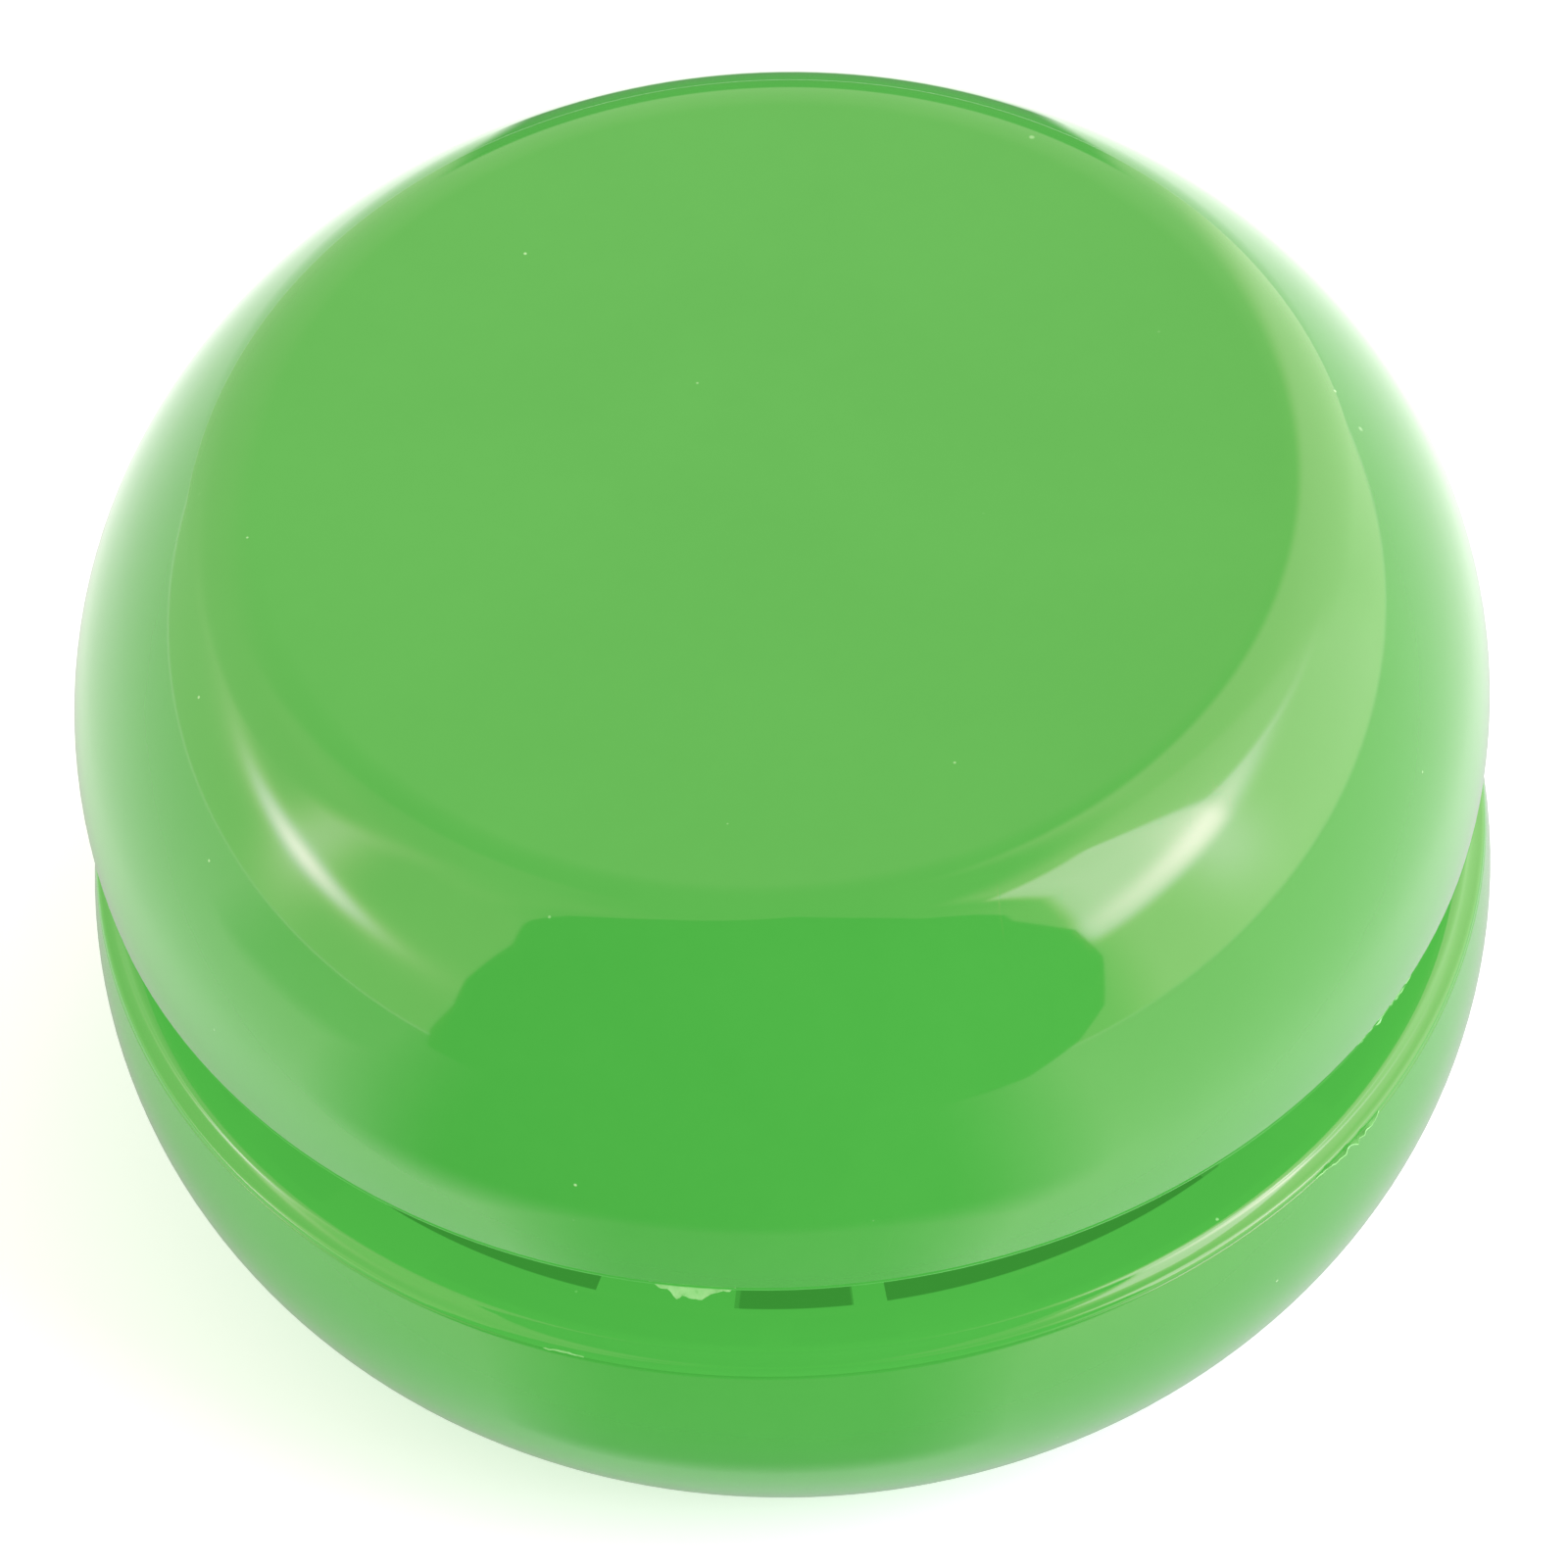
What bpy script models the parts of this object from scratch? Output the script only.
"""A yo-yo: two snap-together halves on a shouldered axle, with a free string sleeve.

The origin is the centre of the toy and +Z runs along the axle. The toy lies on its
lower flat face. Both halves are the same pieces: the lower one is turned over about X.
"""
import math

import bmesh
import bpy

# ---- driving dimensions, in metres and degrees ----
DIAMETER = 0.058            # widest, across the outer caps
SIDE_RADIUS = 0.016         # big round of a cap's side, in section
WIDEST_HEIGHT = 0.0054      # where that round is widest, above the middle plane
SHOULDER_RADIUS = 0.0044    # small round between the side and the flat face
BLEND_ANGLE = 48.5          # where the side's round meets the shoulder's
PARTING_HEIGHT = 0.0029     # joint between cap and disc, above the middle plane
CAP_WALL = 0.0016
INNER_FACE_HEIGHT = 0.0022  # the discs' faces, so the string gap is twice this
FIT_GAP = 0.0003            # left between pieces that rest on each other

DISC_THICKNESS = 0.0018
DISC_EDGE_WIDTH = 0.0010    # rounded edge of a disc, across
SNAP_RING_WALL = 0.0010
SNAP_RING_TOP = 0.0066
SNAP_BEAD_DEPTH = 0.0003
SNAP_BEAD_HEIGHT = 0.0054   # middle of the bead that holds a disc in its cap
SNAP_BEAD_HALF = 0.0003
HUB_RADIUS = 0.0060
HUB_TOP = 0.0128
RIB_THICKNESS = 0.0012
RIB_TOP = 0.0065

WINDOW_OUTER_RADIUS = 0.0258
WINDOW_WIDTH = 0.0029
WINDOW_GROUPS = 6           # each group is one short and one long window
SHORT_WINDOW_START = -5.1   # degrees from -Y towards +X, on the lower disc
SHORT_WINDOW_ANGLE = 10.7
NARROW_BRIDGE_ANGLE = 3.0
WIDE_BRIDGE_ANGLE = 12.6

AXLE_RADIUS = 0.0025        # the middle, which the sleeve turns on
AXLE_END_RADIUS = 0.0020    # the ends, which pass through the hubs into the nuts
AXLE_HALF_LENGTH = 0.0126
AXLE_CHAMFER = 0.0004
HOLE_RADIUS = AXLE_END_RADIUS + FIT_GAP
NUT_ACROSS_FLATS = 0.0070
NUT_THICKNESS = 0.0032
WASHER_RADIUS = 0.0051
WASHER_THICKNESS = 0.0005
SLEEVE_RADIUS = 0.0040
SLEEVE_WAIST = 0.0037       # the string's seat
SLEEVE_CLEARANCE = 0.00008  # running clearance on the axle
RETAINER_BORE = 0.0030      # the cap's tube that keeps the nut in its pocket

SEGMENTS = 48               # around the large turned pieces
FINE_SEGMENTS = 32          # around the small turned pieces
MERGE = 0.00001

# ---- what follows from them ----
SIDE_CENTRE = DIAMETER / 2 - SIDE_RADIUS
BLEND = math.radians(BLEND_ANGLE)
SHOULDER_CENTRE_R = SIDE_CENTRE + (SIDE_RADIUS - SHOULDER_RADIUS) * math.cos(BLEND)
SHOULDER_CENTRE_Z = WIDEST_HEIGHT + (SIDE_RADIUS - SHOULDER_RADIUS) * math.sin(BLEND)
HALF_THICKNESS = SHOULDER_CENTRE_Z + SHOULDER_RADIUS
CAP_RIM_HEIGHT = PARTING_HEIGHT + FIT_GAP / 2
DISC_FLANGE_HEIGHT = PARTING_HEIGHT - FIT_GAP / 2
INNER_SIDE_RADIUS = SIDE_RADIUS - CAP_WALL
GROOVE_TOP = SNAP_BEAD_HEIGHT + SNAP_BEAD_HALF + 2 * FIT_GAP
GROOVE_BOTTOM = SNAP_BEAD_HEIGHT - SNAP_BEAD_HALF - 2 * FIT_GAP
INNER_START = math.asin((GROOVE_TOP - WIDEST_HEIGHT) / INNER_SIDE_RADIUS)
CAP_BORE = SIDE_CENTRE + INNER_SIDE_RADIUS * math.cos(INNER_START)
RIM_START = math.asin((CAP_RIM_HEIGHT - WIDEST_HEIGHT) / SIDE_RADIUS)
RIM_RADIUS = SIDE_CENTRE + SIDE_RADIUS * math.cos(RIM_START)
DISC_TOP = INNER_FACE_HEIGHT + DISC_THICKNESS
COUNTERBORE_RADIUS = WASHER_RADIUS + FIT_GAP
COUNTERBORE_FLOOR = INNER_FACE_HEIGHT + WASHER_THICKNESS + FIT_GAP
NUT_BASE = HUB_TOP - FIT_GAP - NUT_THICKNESS
LONG_WINDOW_ANGLE = (360 / WINDOW_GROUPS - SHORT_WINDOW_ANGLE
                     - NARROW_BRIDGE_ANGLE - WIDE_BRIDGE_ANGLE)


def clear_scene():
    """Remove whatever the file holds."""
    for item in list(bpy.data.objects):
        bpy.data.objects.remove(item, do_unlink=True)


def new_collection(name):
    collection = bpy.data.collections.new(name)
    bpy.context.scene.collection.children.link(collection)
    return collection


def material(name, colour, roughness, metallic=0.0):
    """A plain Principled BSDF."""
    made = bpy.data.materials.new(name)
    made.use_nodes = True
    shader = made.node_tree.nodes["Principled BSDF"]
    shader.inputs["Base Color"].default_value = (*colour, 1.0)
    shader.inputs["Roughness"].default_value = roughness
    shader.inputs["Metallic"].default_value = metallic
    return made


def arc(centre_r, centre_z, radius, start, end, steps):
    """Points of a round stretch of a section, with both ends, angles in radians."""
    points = []
    for i in range(steps + 1):
        angle = start + (end - start) * i / steps
        points.append((centre_r + radius * math.cos(angle), centre_z + radius * math.sin(angle)))
    return points


def finish(item, collection, look):
    """Put a made object in its collection, with its material and smooth rounds."""
    for old in list(item.users_collection):
        old.objects.unlink(item)
    collection.objects.link(item)
    item.data.materials.clear()
    item.data.materials.append(look)
    item.data.shade_smooth()
    item.data.set_sharp_from_angle(angle=math.radians(30))


def turned(name, profile, segments, collection, look, closed=True):
    """A piece turned about Z. The section runs down its outer side, in (radius, height)."""
    mesh = bpy.data.meshes.new(name)
    corners = [(radius, 0.0, height) for radius, height in profile]
    edges = [(i, i + 1) for i in range(len(corners) - 1)]
    if closed:
        edges.append((len(corners) - 1, 0))
    mesh.from_pydata(corners, edges, [])
    item = bpy.data.objects.new(name, mesh)
    finish(item, collection, look)
    screw = item.modifiers.new("Turn", "SCREW")
    screw.axis = "Z"
    screw.angle = math.tau
    screw.steps = segments
    screw.render_steps = segments
    screw.use_merge_vertices = True
    screw.merge_threshold = MERGE
    screw.use_smooth_shade = True
    return item


def boolean(item, tool, operation):
    cut = item.modifiers.new(tool.name, "BOOLEAN")
    cut.operation = operation
    cut.solver = "EXACT"
    cut.object = tool


def prism(name, sides, radius, low, high, collection, look):
    """A straight prism or cylinder about Z between two heights."""
    mesh = bpy.data.meshes.new(name)
    shape = bmesh.new()
    bmesh.ops.create_cone(shape, cap_ends=True, segments=sides, radius1=radius,
                          radius2=radius, depth=high - low)
    bmesh.ops.translate(shape, verts=shape.verts, vec=(0, 0, (low + high) / 2))
    shape.to_mesh(mesh)
    shape.free()
    item = bpy.data.objects.new(name, mesh)
    finish(item, collection, look)
    return item


def cap_profile():
    """Half section of a cap, from the middle of its flat face round to the inside."""
    outer = arc(SHOULDER_CENTRE_R, SHOULDER_CENTRE_Z, SHOULDER_RADIUS, math.pi / 2, BLEND, 4)
    outer += arc(SIDE_CENTRE, WIDEST_HEIGHT, SIDE_RADIUS, BLEND, RIM_START, 9)[1:]
    rim = [(CAP_BORE, CAP_RIM_HEIGHT)]
    groove_radius = CAP_BORE + SNAP_BEAD_DEPTH
    groove = [(CAP_BORE, GROOVE_BOTTOM),
              (groove_radius, GROOVE_BOTTOM + FIT_GAP),
              (groove_radius, GROOVE_TOP - FIT_GAP)]
    inner = arc(SIDE_CENTRE, WIDEST_HEIGHT, INNER_SIDE_RADIUS, INNER_START, BLEND, 5)
    inner += arc(SHOULDER_CENTRE_R, SHOULDER_CENTRE_Z, SHOULDER_RADIUS - CAP_WALL,
                 BLEND, math.pi / 2, 2)[1:]
    ceiling = HALF_THICKNESS - CAP_WALL
    tube = [(HUB_RADIUS, ceiling),
            (HUB_RADIUS, HUB_TOP + FIT_GAP),
            (RETAINER_BORE, HUB_TOP + FIT_GAP),
            (RETAINER_BORE, ceiling),
            (0.0, ceiling)]
    return [(0.0, HALF_THICKNESS)] + outer + rim + groove + inner + tube


def disc_profile():
    """Closed half section of an inner disc: hub, web, snap ring, edge and face."""
    ring_outer = CAP_BORE - FIT_GAP
    ring_inner = ring_outer - SNAP_RING_WALL
    bead = ring_outer + SNAP_BEAD_DEPTH
    edge_depth = DISC_FLANGE_HEIGHT - INNER_FACE_HEIGHT
    edge = []
    for i in range(5):
        angle = math.radians(90) * i / 4
        edge.append((RIM_RADIUS - DISC_EDGE_WIDTH * (1 - math.cos(angle)),
                     DISC_FLANGE_HEIGHT - edge_depth * math.sin(angle)))
    return [(HUB_RADIUS, HUB_TOP),
            (HUB_RADIUS, DISC_TOP),
            (ring_inner, DISC_TOP),
            (ring_inner, SNAP_RING_TOP),
            (ring_outer, SNAP_RING_TOP),
            (ring_outer, SNAP_BEAD_HEIGHT + SNAP_BEAD_HALF + FIT_GAP),
            (bead, SNAP_BEAD_HEIGHT + SNAP_BEAD_HALF),
            (bead, SNAP_BEAD_HEIGHT - SNAP_BEAD_HALF),
            (ring_outer, SNAP_BEAD_HEIGHT - SNAP_BEAD_HALF - FIT_GAP),
            (ring_outer, DISC_FLANGE_HEIGHT),
            *edge,
            (COUNTERBORE_RADIUS, INNER_FACE_HEIGHT),
            (COUNTERBORE_RADIUS, COUNTERBORE_FLOOR),
            (HOLE_RADIUS, COUNTERBORE_FLOOR),
            (HOLE_RADIUS, HUB_TOP)]


def axle_profile():
    """Half section of the axle, end to end."""
    shoulder = INNER_FACE_HEIGHT + WASHER_THICKNESS
    upper = [(0.0, AXLE_HALF_LENGTH),
             (AXLE_END_RADIUS - AXLE_CHAMFER, AXLE_HALF_LENGTH),
             (AXLE_END_RADIUS, AXLE_HALF_LENGTH - AXLE_CHAMFER),
             (AXLE_END_RADIUS, shoulder),
             (AXLE_RADIUS, shoulder)]
    return upper + [(radius, -height) for radius, height in reversed(upper)]


def sleeve_profile():
    """Closed half section of the string sleeve: a low spool."""
    half_length = INNER_FACE_HEIGHT - FIT_GAP
    waist_half = half_length - 2 * FIT_GAP
    bore = AXLE_RADIUS + SLEEVE_CLEARANCE
    return [(SLEEVE_RADIUS, half_length),
            (SLEEVE_WAIST, waist_half),
            (SLEEVE_WAIST, -waist_half),
            (SLEEVE_RADIUS, -half_length),
            (bore, -half_length),
            (bore, half_length)]


def washer_profile():
    """Closed half section of the washer in the upper disc."""
    hole = AXLE_RADIUS + FIT_GAP
    top = INNER_FACE_HEIGHT + WASHER_THICKNESS
    return [(WASHER_RADIUS, top),
            (WASHER_RADIUS, INNER_FACE_HEIGHT),
            (hole, INNER_FACE_HEIGHT),
            (hole, top)]


def window_cutters(name, collection, look):
    """Every window of one disc, as arc-shaped blocks in the upper disc's frame."""
    mesh = bpy.data.meshes.new(name)
    shape = bmesh.new()
    bottom = INNER_FACE_HEIGHT - DISC_THICKNESS
    height = 3 * DISC_THICKNESS
    for group in range(WINDOW_GROUPS):
        first = SHORT_WINDOW_START + group * 360 / WINDOW_GROUPS
        second = first + SHORT_WINDOW_ANGLE + NARROW_BRIDGE_ANGLE
        for start, length in ((first, SHORT_WINDOW_ANGLE), (second, LONG_WINDOW_ANGLE)):
            made = bmesh.ops.create_grid(shape, x_segments=1, y_segments=1, size=0.5)
            # the section stands in the XZ plane, and turns round from +Y towards +X
            for corner in made["verts"]:
                radius = WINDOW_OUTER_RADIUS + (corner.co.x - 0.5) * WINDOW_WIDTH
                corner.co = (radius * math.sin(math.radians(start)),
                             radius * math.cos(math.radians(start)),
                             bottom + (corner.co.y + 0.5) * height)
            section = list({face for corner in made["verts"] for face in corner.link_faces})
            steps = max(2, round(length * SEGMENTS / 360))
            bmesh.ops.spin(shape, geom=section, cent=(0, 0, 0), axis=(0, 0, -1),
                           angle=math.radians(length), steps=steps, use_duplicate=False)
    bmesh.ops.recalc_face_normals(shape, faces=shape.faces)
    shape.to_mesh(mesh)
    shape.free()
    item = bpy.data.objects.new(name, mesh)
    finish(item, collection, look)
    return item


def rib_bodies(name, collection, look):
    """The ribs behind one disc, one in the middle of each wide bridge."""
    mesh = bpy.data.meshes.new(name)
    shape = bmesh.new()
    inner = HUB_RADIUS - FIT_GAP
    outer = CAP_BORE - FIT_GAP - SNAP_RING_WALL / 2
    low = DISC_TOP - DISC_THICKNESS / 2
    for group in range(WINDOW_GROUPS):
        middle = SHORT_WINDOW_START - WIDE_BRIDGE_ANGLE / 2 + group * 360 / WINDOW_GROUPS
        made = bmesh.ops.create_cube(shape, size=1.0)
        bmesh.ops.scale(shape, verts=made["verts"], vec=(RIB_THICKNESS, outer - inner, RIB_TOP - low))
        bmesh.ops.translate(shape, verts=made["verts"], vec=(0, (inner + outer) / 2, (low + RIB_TOP) / 2))
        turn = -math.radians(middle)
        for corner in made["verts"]:
            x, y = corner.co.x, corner.co.y
            corner.co.x = x * math.cos(turn) - y * math.sin(turn)
            corner.co.y = x * math.sin(turn) + y * math.cos(turn)
    shape.to_mesh(mesh)
    shape.free()
    item = bpy.data.objects.new(name, mesh)
    finish(item, collection, look)
    return item


def half_tools(side, cutters, look):
    """The bodies that cut or join the pieces of one half."""
    pocket_size = NUT_ACROSS_FLATS + 2 * FIT_GAP
    low = NUT_BASE - FIT_GAP
    high = HUB_TOP + FIT_GAP
    tools = {
        "windows": window_cutters(side + "_window_cutters", cutters, look),
        "ribs": rib_bodies(side + "_rib_bodies", cutters, look),
        "pocket": prism(side + "_nut_pocket", 6, pocket_size / math.sqrt(3), low, high,
                        cutters, look),
        "nut_hole": prism(side + "_nut_hole", FINE_SEGMENTS, HOLE_RADIUS, low, high,
                          cutters, look),
    }
    for tool in tools.values():
        tool.hide_render = True
        tool.display_type = "WIRE"
    return tools


def build_half(side, parts, cutters, looks):
    """The pieces of one half, on an empty that can turn them over together."""
    holder = bpy.data.objects.new(side + "_half", None)
    parts.objects.link(holder)
    tools = half_tools(side, cutters, looks["tool"])
    cap = turned(side + "_cap", cap_profile(), SEGMENTS, parts, looks["cap"], closed=False)
    disc = turned(side + "_inner_disc", disc_profile(), SEGMENTS, parts, looks["disc"])
    boolean(disc, tools["ribs"], "UNION")
    boolean(disc, tools["windows"], "DIFFERENCE")
    boolean(disc, tools["pocket"], "DIFFERENCE")
    nut = prism(side + "_hex_nut", 6, NUT_ACROSS_FLATS / math.sqrt(3), NUT_BASE,
                NUT_BASE + NUT_THICKNESS, parts, looks["nut"])
    boolean(nut, tools["nut_hole"], "DIFFERENCE")
    washer = turned(side + "_washer", washer_profile(), FINE_SEGMENTS, parts, looks["washer"])
    for item in (cap, disc, nut, washer, *tools.values()):
        item.parent = holder
    return holder


def main():
    clear_scene()
    parts = new_collection("yo_yo")
    cutters = new_collection("cutters")
    looks = {
        "cap": material("cap_plastic", (0.10, 0.48, 0.075), 0.12),
        "disc": material("disc_plastic", (0.08, 0.44, 0.06), 0.15),
        "nut": material("nut_steel", (0.55, 0.56, 0.57), 0.35, 1.0),
        "washer": material("washer_steel", (0.60, 0.61, 0.62), 0.30, 1.0),
        "axle": material("axle_steel", (0.62, 0.63, 0.64), 0.25, 1.0),
        "sleeve": material("sleeve_plastic", (0.85, 0.84, 0.80), 0.40),
        "tool": material("tool", (0.5, 0.5, 0.5), 0.5),
    }
    build_half("upper", parts, cutters, looks)
    lower = build_half("lower", parts, cutters, looks)
    lower.rotation_euler = (math.pi, 0.0, 0.0)
    turned("axle", axle_profile(), FINE_SEGMENTS, parts, looks["axle"], closed=False)
    turned("string_sleeve", sleeve_profile(), FINE_SEGMENTS, parts, looks["sleeve"])


main()
